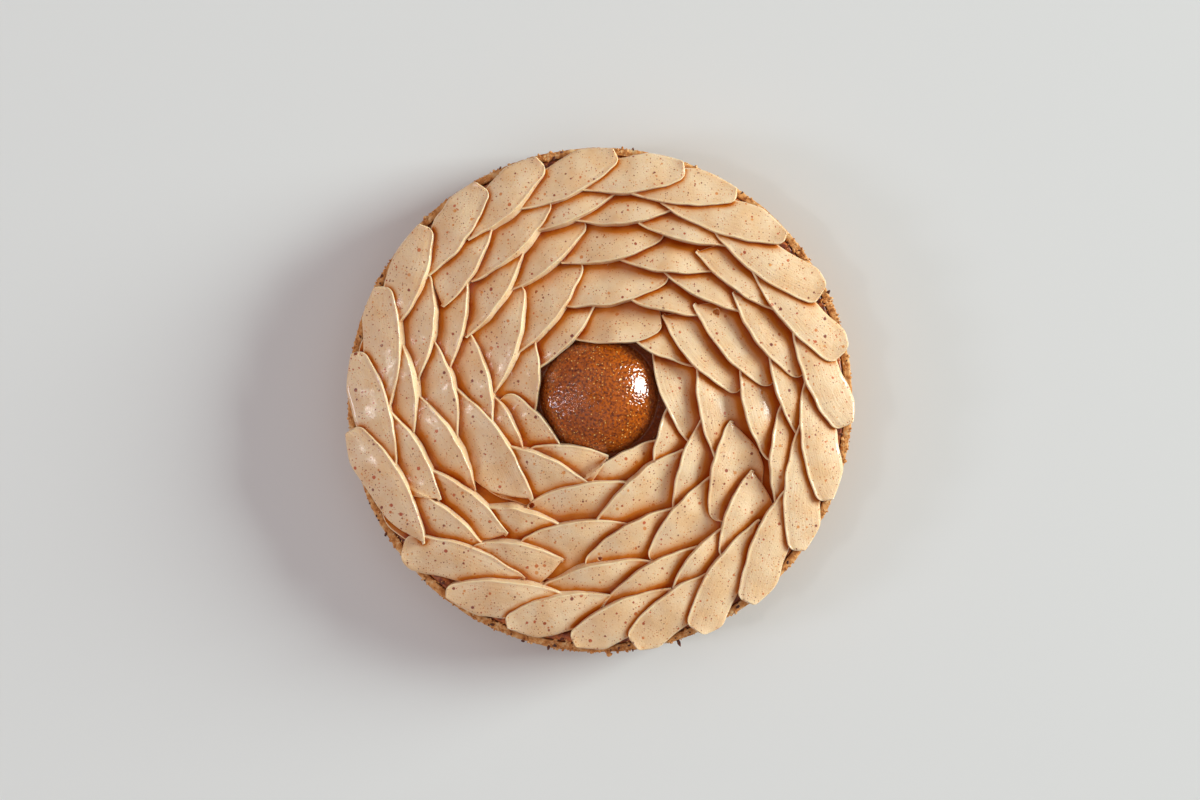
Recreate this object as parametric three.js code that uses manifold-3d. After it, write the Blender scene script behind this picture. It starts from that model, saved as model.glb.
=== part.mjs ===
// A round hazelnut tart: a crumbly shortcrust shell with its filling, a rosette of overlapping
// cream petals piped on top in five rings, and a glossy dome of hazelnut praline in the middle.
// Millimetres, +Z up. The origin is the centre of the flat base, +Y the top of the view from above.
import * as THREE from "three";
import { mergeVertices } from "three/addons/utils/BufferGeometryUtils.js";
import Module from "manifold-3d";

const wasm = await Module();
wasm.setup();

// Driving dimensions of the shell and its filling
const SHELL_RADIUS = 90;
const SHELL_HEIGHT = 20;
const SHELL_WALL = 3.4;
const SHELL_FLOOR = 3.5;
const FILLING_LEVEL = 18.6;
const GAP = 0.3;
const SHELL_SEGMENTS = 96;
const CRUMB_DEPTH = 1.1;
const CRUMB_DOWN = 1.1;
const CRUMB_SEED = 7;

// Driving dimensions of the praline dome and of the pool that it slumps into
const DOME_RADIUS = 20.8;
const DOME_TOP = 31;
const POOL_RADIUS = 25;
const POOL_LEVEL = 21.2;
const DOME_CENTRE = new THREE.Vector2(-0.3, 1.4);
const DOME_SEGMENTS = 36;
const DOME_STEPS = 8;

// Driving dimensions of the piped cream. A petal is a ribbon: a thin raised lip on the side
// towards the middle, and a face that falls away from the lip and runs under the next ring.
const CREAM_BED_RADIUS = 82;
const CREAM_BED_SHOULDER = 73;
const CREAM_BED_TOP = 21.3;
const PETAL_UNDERSIDE = 20.5;
const LIP_LEVEL = 27.6;
const LIP_WIDTH = 1.4;
const LIP_DEPTH = 1.2;
const LIP_LEAN = 0.25;
const FACE_FALL = 5.4;
const EDGE_THICKNESS = 1.6;
const BULGE_SHARE = 0.085;
const NOSE_SHARE = 0.35;
const NOSE_BLUNT = 0.25;
const TIP_BLUNT = 0.1;
const START_DROP = 3.0;
const END_DROP = 3.4;
const END_RISE = 2.5;

// How far hand piping strays: along the ring, across it, in length as a share, in level.
const STRAY_ALONG = 3.4;
const STRAY_ACROSS = 2.6;
const STRAY_LENGTH = 0.14;
const STRAY_LEVEL = 0.35;

// Each ring starts at its seam and is piped counter-clockwise, each petal over the one before it.
// It creeps outwards by drift a petal, and bowDeg is how far its far side runs ahead of even steps.
// lip is the innermost radius of the first lip, and rise how far outside that radius a lip starts.
const RINGS = [
  {
    name: "heart", seed: 565235, count: 9, width: 19, sink: 1,
    seamDeg: 255.3, stepDeg: 39.5, bowDeg: 0, spanDeg: 67, lip: 23.4, drift: -0.36, rise: 13, closingLip: 19.4,
  },
  {
    name: "wedge", seed: 5, count: 1, width: 16, sink: 0.5,
    seamDeg: 178, stepDeg: 0, bowDeg: 0, spanDeg: 43, lip: 29, drift: 0, rise: 9, closingLip: 29,
  },
  {
    name: "inner", seed: 1647341, count: 12, width: 19, sink: 0,
    seamDeg: 232.7, stepDeg: 29.9, bowDeg: 10.8, spanDeg: 57, lip: 31.6, drift: 0.58, rise: 14.5, closingLip: 27.6,
  },
  {
    name: "middle", seed: 1961869, count: 16, width: 19, sink: 0,
    seamDeg: 239.3, stepDeg: 22.7, bowDeg: 10.4, spanDeg: 40.5, lip: 43.7, drift: 0.63, rise: 14, closingLip: 45.2,
  },
  {
    name: "wide", seed: 2355392, count: 18, width: 17.5, sink: 0,
    seamDeg: 230.8, stepDeg: 19.4, bowDeg: 0, spanDeg: 31.5, lip: 56.9, drift: 0.38, rise: 12.6, closingLip: 64.6,
  },
  {
    name: "outer", seed: 3250847, count: 22, width: 12.2, sink: 0,
    seamDeg: 216.9, stepDeg: 15.6, bowDeg: -5.7, spanDeg: 31, lip: 66.6, drift: 0.39, rise: 20, closingLip: 77,
  },
];
const NOSE_LIMIT = 86;

// A repeatable stream of numbers from 0 to 1.
function randomStream(seed) {
  let state = seed;
  return () => {
    state = (state * 1664525 + 1013904223) % 4294967296;
    return state / 4294967296;
  };
}

const smooth = (x) => THREE.MathUtils.smoothstep(x, 0, 1);

function solidOf(geometry) {
  const bare = geometry.clone();
  bare.deleteAttribute("normal");
  bare.deleteAttribute("uv");
  const merged = mergeVertices(bare, 1e-4);
  return new wasm.Manifold(
    new wasm.Mesh({
      numProp: 3,
      vertProperties: merged.attributes.position.array,
      triVerts: new Uint32Array(merged.index.array),
    }),
  );
}

function geometryOf(solid) {
  const mesh = solid.getMesh();
  const geometry = new THREE.BufferGeometry();
  geometry.setAttribute("position", new THREE.BufferAttribute(mesh.vertProperties, 3));
  geometry.setIndex(new THREE.BufferAttribute(mesh.triVerts, 1));
  geometry.computeVertexNormals();
  return geometry;
}

// A closed solid of revolution about +Z. relief(column, row) may move a point of the profile.
function revolve(profile, segments, relief = () => [0, 0]) {
  const geometry = new THREE.LatheGeometry(profile, segments);
  const place = geometry.attributes.position;
  for (let i = 0; i < place.count; i++) {
    const column = Math.floor(i / profile.length) % segments;
    const row = i % profile.length;
    const [out, up] = profile[row].x > 0 ? relief(column, row) : [0, 0];
    const radius = profile[row].x + out;
    const angle = (column / segments) * 2 * Math.PI;
    place.setXYZ(i, radius * Math.cos(angle), radius * Math.sin(angle), profile[row].y + up);
  }
  return geometry;
}

// A solid through closed sections that have the same number of points, with flat ends.
function loft(sections) {
  const size = sections[0].length;
  const points = sections.flat();
  const index = [];
  for (let s = 0; s + 1 < sections.length; s++) {
    for (let k = 0; k < size; k++) {
      const a = s * size + k;
      const b = s * size + ((k + 1) % size);
      index.push(a, b, a + size, b, b + size, a + size);
    }
  }
  const last = (sections.length - 1) * size;
  for (let k = 1; k + 1 < size; k++) {
    index.push(0, k + 1, k, last, last + k, last + k + 1);
  }
  const geometry = new THREE.BufferGeometry().setFromPoints(points);
  geometry.setIndex(index);
  return geometry;
}

// The shell: a cup of shortcrust whose rim and wall are broken up by crumbs.
function shellGeometry() {
  const inner = SHELL_RADIUS - SHELL_WALL;
  const profile = [
    new THREE.Vector2(0, 0),
    new THREE.Vector2(SHELL_RADIUS - 2, 0),
    new THREE.Vector2(SHELL_RADIUS - 0.6, 1.2),
    new THREE.Vector2(SHELL_RADIUS - 0.3, 6),
    new THREE.Vector2(SHELL_RADIUS - 0.2, 11.5),
    new THREE.Vector2(SHELL_RADIUS - 0.3, 16.5),
    new THREE.Vector2(SHELL_RADIUS - 0.5, SHELL_HEIGHT - 0.8),
    new THREE.Vector2(SHELL_RADIUS - 1.6, SHELL_HEIGHT),
    new THREE.Vector2(inner + 0.6, SHELL_HEIGHT),
    new THREE.Vector2(inner, SHELL_HEIGHT - 1),
    new THREE.Vector2(inner, SHELL_FLOOR),
    new THREE.Vector2(0, SHELL_FLOOR),
  ];
  const firstWallRow = 2;
  const rimRows = [6, 8];
  const random = randomStream(CRUMB_SEED);
  const crumbs = profile.map(() => Array.from({ length: SHELL_SEGMENTS }, () => [random(), random()]));
  return revolve(profile, SHELL_SEGMENTS, (column, row) => {
    const [depth, down] = crumbs[row][column];
    const onRim = row >= rimRows[0] && row <= rimRows[1];
    const onWall = row >= firstWallRow && row < rimRows[1];
    return [onWall ? -CRUMB_DEPTH * depth : 0, onRim ? -CRUMB_DOWN * down : 0];
  });
}

function fillingGeometry() {
  const radius = SHELL_RADIUS - SHELL_WALL - GAP - 0.1;
  const base = SHELL_FLOOR + GAP;
  const profile = [
    new THREE.Vector2(0, base),
    new THREE.Vector2(radius, base),
    new THREE.Vector2(radius, FILLING_LEVEL - 0.5),
    new THREE.Vector2(radius - 1.2, FILLING_LEVEL),
    new THREE.Vector2(0, FILLING_LEVEL),
  ];
  return revolve(profile, SHELL_SEGMENTS / 2);
}

// The praline: a spherical cap on a low pool. grow widens it all round, to cut its seat.
function pralineGeometry(grow = 0) {
  const height = DOME_TOP - POOL_LEVEL;
  const sphere = (DOME_RADIUS ** 2 + height ** 2) / (2 * height);
  const halfAngle = Math.asin(DOME_RADIUS / sphere);
  const base = FILLING_LEVEL + (grow > 0 ? -GAP : GAP);
  const profile = [
    new THREE.Vector2(0, base),
    new THREE.Vector2(POOL_RADIUS + grow, base),
    new THREE.Vector2(POOL_RADIUS + grow, POOL_LEVEL - 0.4 + grow),
    new THREE.Vector2(POOL_RADIUS - 1 + grow, POOL_LEVEL + grow),
  ];
  for (let s = 0; s <= DOME_STEPS; s++) {
    const angle = halfAngle * (1 - s / DOME_STEPS);
    const radius = s < DOME_STEPS ? (sphere + grow) * Math.sin(angle) : 0;
    profile.push(new THREE.Vector2(radius, DOME_TOP - sphere + (sphere + grow) * Math.cos(angle)));
  }
  const geometry = revolve(profile, DOME_SEGMENTS);
  return geometry.translate(DOME_CENTRE.x, DOME_CENTRE.y, 0);
}

// How wide a petal is at t along it, from its blunt round start at 0 to its tapered end at 1.
function leafShare(t) {
  if (t < NOSE_SHARE) return Math.max(NOSE_BLUNT, Math.sqrt(1 - (1 - t / NOSE_SHARE) ** 2.2));
  const taper = Math.cos((Math.PI / 2) * ((t - NOSE_SHARE) / (1 - NOSE_SHARE)) ** 1.7);
  return Math.max(TIP_BLUNT, taper);
}

// One petal as a closed solid. start and end are the ends of its lip, seen from above.
function petalGeometry({ start, end, lipLevel, fullWidth, closing }) {
  const stations = [0, 0.03, 0.1, 0.24, 0.4, 0.56, 0.72, 0.87, 1];
  const along = end.clone().sub(start);
  const length = along.length();
  along.normalize();
  const outward = new THREE.Vector2(along.y, -along.x);
  const sections = stations.map((t) => {
    const lip = start.clone().addScaledVector(along, length * t);
    lip.addScaledVector(outward, -BULGE_SHARE * length * 4 * t * (1 - t));
    const width = fullWidth * leafShare(t);
    const endDrop = closing ? 0 : END_DROP * smooth((t - 0.55) / 0.45);
    const crest = lipLevel - START_DROP * smooth(1 - t / 0.5) - endDrop;
    const fall = Math.min(FACE_FALL, crest - PETAL_UNDERSIDE - EDGE_THICKNESS);
    const face = (w) => crest - fall * (1 - (1 - w / fullWidth) ** 1.5);
    const point = (w, z) => new THREE.Vector3(lip.x + outward.x * w, lip.y + outward.y * w, z);
    const brim = Math.min(LIP_WIDTH, 0.4 * width);
    const middle = 0.5 * (brim + width);
    return [
      point(-LIP_LEAN, PETAL_UNDERSIDE),
      point(0, crest - LIP_DEPTH),
      point(brim, crest),
      point(middle, face(middle)),
      point(width, face(width)),
      point(width + LIP_LEAN, PETAL_UNDERSIDE),
    ];
  });
  return loft(sections);
}

function polar(deg, radius) {
  const angle = THREE.MathUtils.degToRad(deg);
  return new THREE.Vector2(radius * Math.cos(angle), radius * Math.sin(angle));
}

// Where each petal of a ring lies: a list of what petalGeometry needs.
function ringPetals(ring) {
  const random = randomStream(ring.seed);
  const stray = (reach) => reach * (2 * random() - 1);
  return Array.from({ length: ring.count }, (_, i) => {
    const closing = i === ring.count - 1;
    const share = i / Math.max(1, ring.count - 1);
    const evenRadius = closing ? ring.closingLip : ring.lip + ring.drift * i;
    const evenDeg = ring.seamDeg + ring.stepDeg * i + ring.bowDeg * 4 * share * (1 - share);
    const startDeg = evenDeg + THREE.MathUtils.radToDeg(stray(STRAY_ALONG) / (evenRadius + ring.rise / 2));
    const lipRadius = evenRadius + stray(STRAY_ACROSS);
    const spanDeg = ring.spanDeg * (1 + stray(STRAY_LENGTH));
    const lipLevel = LIP_LEVEL - ring.sink + stray(STRAY_LEVEL);
    const startRadius = Math.min(lipRadius + ring.rise, NOSE_LIMIT) + stray(STRAY_LEVEL);
    return {
      start: polar(startDeg, startRadius),
      end: polar(startDeg + spanDeg, lipRadius + END_RISE),
      lipLevel,
      fullWidth: ring.width,
      closing,
    };
  });
}

// The piped cream: a low bed with every petal fused to it, cut to seat the praline.
function creamGeometry() {
  const bed = revolve(
    [
      new THREE.Vector2(0, FILLING_LEVEL + GAP),
      new THREE.Vector2(CREAM_BED_RADIUS - 1, FILLING_LEVEL + GAP),
      new THREE.Vector2(CREAM_BED_RADIUS, FILLING_LEVEL + 1.6),
      new THREE.Vector2(CREAM_BED_SHOULDER, CREAM_BED_TOP),
      new THREE.Vector2(0, CREAM_BED_TOP),
    ],
    SHELL_SEGMENTS / 2,
  );
  const piped = RINGS.flatMap(ringPetals).map((petal) => solidOf(petalGeometry(petal)));
  const joined = piped.reduce((sum, petal) => sum.add(petal), solidOf(bed));
  return geometryOf(joined.subtract(solidOf(pralineGeometry(GAP))));
}

function piece(name, geometry, color, roughness) {
  const material = new THREE.MeshStandardMaterial({ color, roughness, metalness: 0 });
  const mesh = new THREE.Mesh(geometry, material);
  mesh.name = name;
  return mesh;
}

const tart = new THREE.Group();
tart.add(
  piece("crust", shellGeometry(), "#b88a58", 0.9),
  piece("filling", fillingGeometry(), "#8a4f26", 0.5),
  piece("cream", creamGeometry(), "#e0bb92", 0.55),
  piece("praline", pralineGeometry(), "#97501f", 0.25),
);

export default tart;
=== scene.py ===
# The looks of a round hazelnut tart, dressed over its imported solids. Lengths are in millimetres
# until a mesh is made, and then in metres. +Z is up and +Y is the top of the view from above.
import math

import bmesh
import bpy
import numpy as np
from mathutils import Euler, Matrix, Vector, noise
from mathutils.bvhtree import BVHTree


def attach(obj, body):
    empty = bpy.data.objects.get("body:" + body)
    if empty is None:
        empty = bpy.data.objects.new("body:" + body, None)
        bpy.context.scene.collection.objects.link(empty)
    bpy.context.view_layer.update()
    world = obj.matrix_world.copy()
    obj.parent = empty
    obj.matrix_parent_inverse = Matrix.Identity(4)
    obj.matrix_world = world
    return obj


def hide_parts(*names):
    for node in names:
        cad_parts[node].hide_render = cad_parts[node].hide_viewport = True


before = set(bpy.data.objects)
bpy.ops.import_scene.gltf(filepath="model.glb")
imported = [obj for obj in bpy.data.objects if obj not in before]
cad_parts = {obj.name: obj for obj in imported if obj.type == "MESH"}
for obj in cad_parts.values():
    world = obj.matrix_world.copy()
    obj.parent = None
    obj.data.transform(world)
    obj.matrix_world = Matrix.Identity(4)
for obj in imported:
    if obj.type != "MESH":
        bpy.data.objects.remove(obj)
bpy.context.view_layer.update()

MM = 0.001
FULL_TURN = 6.283

# The shell. Its wall and rim lie in from the full radius, which leaves room for their crumbs.
SHELL_RADIUS = 90.5
SHELL_HEIGHT = 19.9
SHELL_WALL = 3.4
SHELL_FLOOR = 3.5
SHELL_INNER = SHELL_RADIUS - SHELL_WALL
SHELL_COLUMNS = 1000
FLAT_RADIUS = 40.0
BASE_RADIUS = 87.5
FOOT_RADIUS = 88.9
FOOT_POINTS = 4
FOOT_STEP = 0.2
FOOT_CURVE = 0.05
WALL_INSET = 0.75
WALL_BELLY = 0.15
WALL_MARGIN = 1.2
WALL_ROWS = 26
RIM_INSET = 0.7
RIM_ROWS = 13
RIM_CROWN = 1.0
RIM_SQUARE = 0.6
RIM_DEPTH = 1.8
RIM_CLEAR = 0.25
RIM_UPWARD = 0.6

# Where the shell's relief fades in, and over how far: from the inner face, from the base and, where
# it turns upwards, from below the top
INNER_FADE = (0.2, 0.8)
BASE_FADE = (0.1, 1.2)
RIM_FADE = (-2.2, 1.6)

# The filling, which swells where no cream weighs on it
FILLING_RADIUS = 86.9
FILLING_LEVEL = 18.8
FILLING_COLUMNS = 640
FILLING_GAP = 0.3
FILLING_EDGE = 0.6
FILLING_RINGS = 19
FILLING_STEP = 0.5
FILLING_FADE = (-1.0, 0.8)
FILLING_SWELL = 1.3
SWELL_OVER = 2.5

# The praline dome and the pool that it slumps into
DOME_RADIUS = 20.8
DOME_TOP = 30.9
DOME_X = -0.3
DOME_Y = 1.4
DOME_ROWS = 84
DOME_COLUMNS = 400
DOME_FOCUS = 27.0
POOL_RADIUS = 24.9
POOL_LEVEL = 21.1
POOL_BASE = 19.0
POOL_EDGE = 0.5
POOL_DIP = 0.1
POOL_RINGS = 12
POOL_STEP = 0.3
PRALINE_FADE = 1.5

# Where the praline's own oil lies thick and smooth over the grains: from the middle of the dome
OILY_X = 14.0
OILY_Y = 3.4
OILY_WIDE = 2.8
OILY_TALL = 4.2
OILY_SMOOTH = 0.85

# The room that is cut for the praline in the cream
SEAT_GAP = 0.3
SEAT_BELOW = 1.0
SEAT_ROWS = 24
SEAT_COLUMNS = 96

# The relief of each food: layers of grains and of swells, each with a height, a size and a seed.
# The sink is how far the whole surface is set back for it.
CRUST_RELIEF = dict(grains=[(0.38, 1.4, 7), (0.24, 0.75, 8)], swells=[(0.4, 5.0, 9), (0.3, 11.0, 10)])
FILLING_RELIEF = dict(grains=[(0.25, 1.4, 21)], swells=[(0.5, 3.2, 20)])
PRALINE_RELIEF = dict(grains=[(0.17, 1.05, 3), (0.11, 0.6, 4)], swells=[(0.1, 3.5, 5)])
CRUST_SINK = 0.45
FILLING_SINK = 0.45
PRALINE_SINK = 0.2
GRAIN_REACH = 0.75
NOISE_SHIFT = (1.37, 2.11, 3.73)

# The bed of cream under the petals
CREAM_BASE = 18.9
CREAM_BED_RADIUS = 82.0
CREAM_BED_SHOULDER = 73.0
CREAM_BED_TOP = 21.3
BED_FOOT = 1.0
BED_EDGE = 1.3
BED_COLUMNS = 180

# A petal's lip, the line that the nozzle's thin end drew
LIP_LEVEL = 27.6
# How pale the lip, its wall and its foot are: paler cream, and partly a painted highlight along the edge
LIP_PALE = 0.7
WALL_PALE = 0.2
FOOT_PALE = 0.0
LIP_WANDER = 0.55
WANDER_RUN = 6.0
LIP_WAVER = 0.18
WAVER_RUN = 2.2
WAVER_SEED = 100
BULGE_SHARE = 0.085
START_RUN = 0.45
START_DROP = 4.0
END_FADE = (0.6, 0.4)
END_DROP = 4.2
END_RISE = 2.5
LEAN_LEAST = 1.5
LEAN_MOST = 4.0
LEAN_RIGHT = 0.05

# The lip in section: how far a point lies from the wall, and how far above the face
LIP_SECTION = [(0, -0.55), (0.05, -0.22), (0.15, 0.0), (0.32, 0.13), (0.52, 0.12), (0.75, 0.02),
               (1.05, -0.07), (1.5, -0.08), (2.0, -0.04), (2.6, 0)]

# Nicks in the lips: how often, where along the petal as shares, how deep and how wide
NICK_CHANCE = 0.45
NICK_FIRST = 0.25
NICK_LAST = 0.85
NICK_LEAST = 0.15
NICK_MOST = 0.45
NICK_WIDTH = 0.7

# A petal's face, which falls from the lip to the outer edge, and more so towards the tail
FACE_RUN = 13.0
FACE_FLAT = 0.2
FACE_ROWS = 12
FACE_BLEND = 0.6
TAIL_TWIST = 0.9
TAIL_FADE = (0.45, 0.5)
PETAL_UNDERSIDE = 20.5
PETAL_THICKNESS = 1.2
LEAST_COVER = 0.5
COVER_BLEND = 0.4
LEAST_DEPTH = 0.12
BUMP_HEIGHT = 0.18
BUMP_SIZE = 6.0
BUMP_SEED = 200
FINE_BUMP_SHARE = 0.4
FINE_BUMP_SIZE = 2.6
FINE_BUMP_SEED = 300
ALONG_PASSES = 60
ACROSS_PASSES = 3

# A petal's outline: a blunt nose, a tapered tail and an edge that stops on the rim
NOSE_CORNER = 2.6
NOSE_SQUARE = 2.4
NOSE_ROUND = 0.6
NOSE_STUB = 0.04
NOSE_LIMIT = 84.4
NOSE_STRAY = 1.3
TAPER_START = 0.35
TAPER_POWER = 1.7
TIP_BLUNT = 0.08
EDGE_RADIUS = 90.2
EDGE_STRAY = 0.8
EDGE_ROUND = 0.6
EDGE_SHARE = 0.3
EDGE_STUB = 0.02
EDGE_ROWS = 5
REACH_BLEND = 0.8
LEAST_WIDTH = 0.4
NARROW_FROM = 6.0
NARROWEST = 0.05
STATIONS = 56
STATION_CROWD = 1.3
PETAL_SPACING = 50
PETAL_SEED_STEP = 7919
PETAL_SEED_START = 11

# How the cream's edge wanders on the rim: waves a turn, how far, and where it is widest
EDGE_WAVES = [(2, 0.4, 355), (3, 0.84, 70), (4, 0.71, 25), (5, 0.5, 357)]

# How far hand piping strays: along the ring, across it, in length as a share, in level
STRAY_ALONG = 3.4
STRAY_ACROSS = 2.6
STRAY_LENGTH = 0.14
STRAY_LEVEL = 0.35

# Each ring starts at its seam and is piped counter-clockwise, each petal over the one before it.
# It creeps outwards by drift a petal, and bow is how far its far side runs ahead of even steps.
# seam, step, bow and span are in degrees. lip is the radius at which the lip of the first petal
# ends, closing that of the last, and rise is how much farther out a lip starts. lean is the share
# of the usual lean of the wall, fall how far a face falls, and sink how much lower the ring lies.
# seam_first says that the last petal was piped first. nose is the share of a petal that is blunt.
RING_USUAL = dict(nose=0.35, seam_first=True, start_drop=START_DROP, closing_drop=END_DROP)
RINGS = {
    "heart": dict(RING_USUAL, seed=565235, count=9, width=19, fall=5.8, sink=1, lean=0.3, seam=255.3,
                  step=39.5, bow=0, span=67, lip=24.0, drift=-0.36, rise=13, closing=19.4,
                  seam_first=False),
    "wedge": dict(RING_USUAL, seed=5, count=1, width=16, fall=5.8, sink=0.5, lean=1, seam=178,
                  step=0, bow=0, span=43, lip=29, drift=0, rise=9, closing=29),
    "inner": dict(RING_USUAL, seed=1647341, count=12, width=19, fall=6.2, sink=0, lean=1.2, seam=232.7,
                  step=29.9, bow=10.8, span=57, lip=31.6, drift=0.58, rise=14.5, closing=27.6),
    "middle": dict(RING_USUAL, seed=1961869, count=16, width=19, fall=6.2, sink=0, lean=1, seam=239.3,
                   step=22.7, bow=10.4, span=40.5, lip=43.7, drift=0.63, rise=14, closing=45.2),
    "wide": dict(RING_USUAL, seed=2355392, count=18, width=17.5, fall=6.0, sink=0, lean=1.2, seam=230.8,
                 step=19.4, bow=0, span=31.5, lip=56.9, drift=0.38, rise=12.6, closing=64.6),
    "outer": dict(RING_USUAL, seed=3250847, count=22, width=13.6, fall=3.8, sink=0.6, lean=1.3, seam=216.9,
                  step=15.6, bow=-5.7, span=31, lip=66.6, drift=0.39, rise=20, closing=77, nose=0.16,
                  seam_first=False, start_drop=2.6, closing_drop=0),
}

# Burst bubbles in the cream: the angle, radius and size of each, and how far its middle is up
PITS = [(37, 51.6, 1.7, 0.6), (237, 44.5, 1.3, -0.3), (270, 56.2, 0.9, 0.1)]
SMALL_PITS = 26
PIT_SEED = 12
PIT_INNER = 26.0
PIT_OUTER = 86.0
PIT_LEAST = 0.25
PIT_MOST = 0.6
PIT_UP = 0.3
PIT_ROUGH = 0.18
PIT_FINE = 3

# The grid on which the height of what is already piped is kept
GRID_HALF = 96.0
GRID_STEP = 0.5
SOFT_CELLS = 6
SOFT_DROP = 1.0
LAID_SHARES = (0, 1 / 3, 2 / 3)

# An uneven ball: how rough, how large its lumps are as a share of it, and how finely it is divided
BALL_ROUGH = 0.35
BALL_NOISE = 0.7
BALL_FINE = 2

# Crumbs on the rim and the wall
CRUMB_TRIES = 2600
CRUMB_SEED = 41
CRUMB_LEAST = 0.25
CRUMB_MOST = 0.6
CRUMB_ROUGH = 0.22
CRUMB_THIN = 0.65
CRUMB_LONG = 1.25
CRUMB_UP = 0.1
CRUMB_OUT = 0.2
CRUMB_INNER = 84.2
CRUMB_OUTER = 90.0
WALL_CRUMBS = 420
WALL_CRUMB_LOW = 1.0
WALL_CRUMB_HIGH = SHELL_HEIGHT - 0.5
BARE_MARGIN = 0.3
SWELL_SHARE = 0.75
RIM_DIP = 0.25
HANGING_CRUMB = dict(angle=272, radius=90.6, level=18.6, size=1.1, stretch=(1, 0.8, 0.7), seed=5)

# Dark flakes of hazelnut skin among the crumbs
SKIN_TRIES = 240
SKIN_SEED = 43
SKIN_LEAST = 0.4
SKIN_MOST = 1.0
SKIN_TILT = 0.35
SKIN_STRETCH = (1, 0.6, 0.25)
SKIN_UP = 0.35
STRAY_SKIN = dict(angle=288, radius=90.7, level=18.9, size=1.6, stretch=(1, 0.4, 0.15), seed=3,
                  tilt=(0.4, 0.2))

# Edges sharper than this, in degrees, stay sharp
CREAM_SHARP = 42
CRUMB_SHARP = 50

# How far round a point its openness is looked for, and by how many rays
OPEN_REACH = 9.0
OPEN_RAYS = 28
RAY_LIFT = 0.2
GOLDEN_TURN = math.pi * (3 - math.sqrt(5))
OPEN_SMOOTHING = 2
# Faces that point up less than STEEP count as walls, and take only WALL_SHADE of the painted shade
WALL_SHADE = 0.2
STEEP = 0.72
LEAST_AREA = 1e-15

# Colours as they show, in 0 to 255
CREAM_COLOUR = (241, 210, 169)
CREAM_DEEP = (234, 192, 143)
# Paler cream on the lips, partly a painted highlight
CREAM_PALE_LIP_HIGHLIGHT = (246, 220, 178)
# Painted shade for the folds and the feet of the walls: warm, then dark
CREAM_WARM_SHADE = (202, 120, 38)
CREAM_SHADE = (160, 64, 0)
SPECK_DARK = (132, 46, 20)
SPECK_RED = (200, 84, 30)
SPECK_PALE = (224, 150, 78)
PRALINE_COLOUR = (187, 89, 0)
PRALINE_DARK = (104, 40, 0)
# Dark praline, for its dark specks and for the painted shade on the dome's foot and the pool
PRALINE_SPECK_AND_SHADE = (92, 34, 2)
PRALINE_GRAIN = (250, 192, 100)
CRUST_LIGHT = (238, 204, 152)
CRUST_MID = (218, 152, 88)
CRUST_DARK = (168, 96, 46)
CRUST_BAKED = (160, 108, 62)
FILLING_COLOUR = (210, 118, 60)
FILLING_DARK = (120, 54, 34)
SKIN_COLOUR = (128, 66, 34)
SKIN_DARK = (62, 28, 18)
FLOOR_COLOUR = (228, 228, 225)

# How each food is mottled: the size of the clouds, their detail, and colours at places in the noise
CREAM_MOTTLE = (9.0, 3.0, [(0.35, CREAM_DEEP), (0.65, CREAM_COLOUR)])
PRALINE_MOTTLE = (1.0, 5.0, [(0.34, PRALINE_DARK), (0.58, PRALINE_COLOUR)])
CRUST_MOTTLE = (2.2, 6.0, [(0.28, CRUST_DARK), (0.5, CRUST_MID), (0.74, CRUST_LIGHT)])
FILLING_MOTTLE = (2.4, 5.0, [(0.4, FILLING_DARK), (0.62, FILLING_COLOUR)])
SKIN_MOTTLE = (0.8, 4.0, [(0.35, SKIN_DARK), (0.7, SKIN_COLOUR)])

# Specks: the size of a cell, the share of cells with none, the largest radius as a share of a cell
# and, where a layer has only one, the colour
CREAM_SPECKS = [(3.2, 0.45, 0.25), (2.0, 0.4, 0.25), (1.2, 0.35, 0.27), (0.75, 0.3, 0.3)]
CREAM_SPECK_TINTS = [(0.1, SPECK_DARK), (0.45, SPECK_RED), (0.9, SPECK_PALE)]
CREAM_SPECK_STRENGTH = 0.95
PRALINE_SPECKS = [(1.9, 0.6, 0.24, PRALINE_GRAIN), (1.0, 0.45, 0.3, PRALINE_GRAIN),
                  (0.9, 0.6, 0.28, PRALINE_SPECK_AND_SHADE)]
PRALINE_SPECK_STRENGTH = (0.2, 1.0)
PRALINE_SPECK_FULL = 0.6
CRUST_SPECKS = [(1.5, 0.5, 0.3, CRUST_LIGHT), (1.2, 0.6, 0.28, CRUST_DARK), (3.4, 0.75, 0.17, SPECK_DARK)]
CRUST_SPECK_STRENGTH = 0.7
SPECK_BEND = 0.4
SPECK_BEND_SIZE = 0.7
SPECK_POWER = 0.5
SPECK_EDGE = 0.06

# Painted shade: the cream turns warm and then dark as it lies less open, and its sheen grows as it lies
# more open
WARM_SHADE_OPENNESS = (0.975, 0.775)
SHADE_OPENNESS = (0.82, 0.6)
SHEEN_OPENNESS = (0.75, 0.97)
SHEEN_LEVELS = (0.03, 0.4)

# Where the lips are pale, partly a painted highlight along their edge, and where the cream is wet: the
# size of the clouds, their range, the levels
PALE_CLOUDS = (8.0, (0.36, 0.64), (0.3, 1.0))
WET_CLOUDS = (7.0, (0.42, 0.57), (0.0, 0.8))

# Bumps too fine for the meshes: their strength and depth, and the size and detail of their clouds
STREAK_BUMP = (0.55, 0.25)
STREAK_STRETCH = (0.1, 1.4, 0)
STREAK_DETAIL = 3.0
CREAM_BUMP = (0.5, 0.25)
CREAM_BUMP_CLOUDS = (0.6, 5.0)
FILM_BUMP = (0.25, 0.15)
FILM_BUMP_CLOUDS = (1.1, 2.0)
CRUST_BUMP = (0.5, 0.3)
CRUST_BUMP_CLOUDS = (0.35, 4.0)

# Painted shade: the praline is darker from a little above the pool downwards, where the petals shade its
# foot
SHADE_ABOVE_POOL = 3.6
POOL_SHADE_MOST = 0.85

# The wall of the shell is baked browner below the rim, from one height down to another
BAKED_FROM = 19.0
BAKED_TO = 14.0
BAKED_MOST = 0.75

# The camera hangs straight above, and the frame is this wide at the height of the rim
LENS = 85.0
SENSOR = 36.0
FRAME_WIDTH = 426.8
FLOOR_HALF = 3000

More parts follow.
